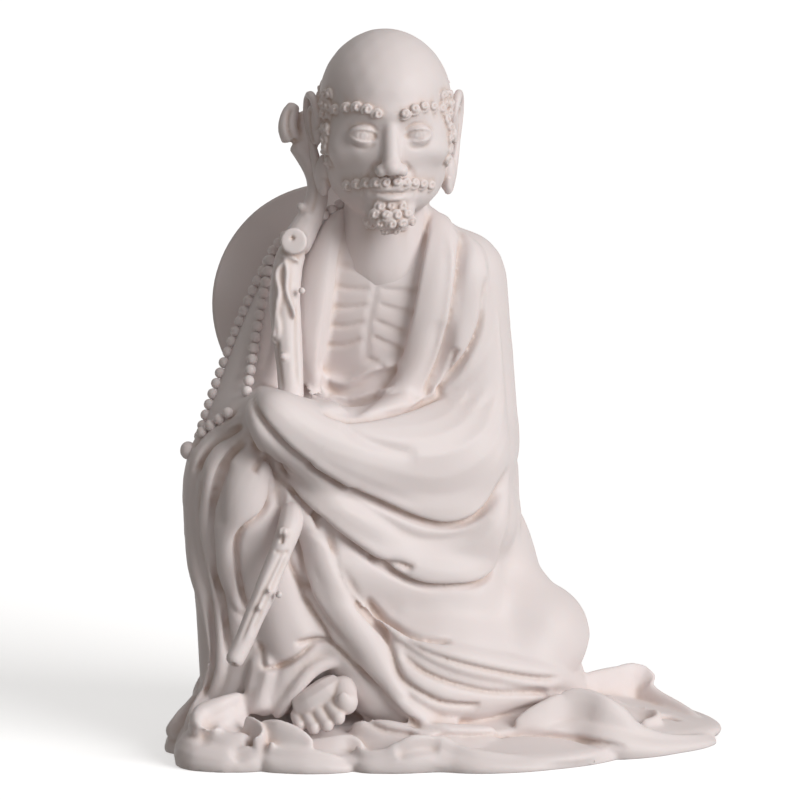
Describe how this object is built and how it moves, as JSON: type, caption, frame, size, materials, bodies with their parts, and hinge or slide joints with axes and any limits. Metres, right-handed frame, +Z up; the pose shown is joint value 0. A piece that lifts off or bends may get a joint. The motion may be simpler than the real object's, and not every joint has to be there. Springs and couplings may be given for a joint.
{
  "type": "bodhidharma statue",
  "caption": "Seated robed sage in white porcelain with a gnarled staff, prayer beads and a rain hat on the back, on a spread of cloth.",
  "frame": {"origin": "middle of the figure's box, on the flat underside", "axes": "+Z up, -Y towards the viewer that the figure faces, +X towards the folded knee on the viewer's right"},
  "size_m": [0.2796, 0.166, 0.3579],
  "materials": {
    "porcelain": "warm white porcelain under a satin glaze, a little browner in the creases"
  },
  "bodies": {
    "root": {"statue": "porcelain"}
  },
  "joints": []
}
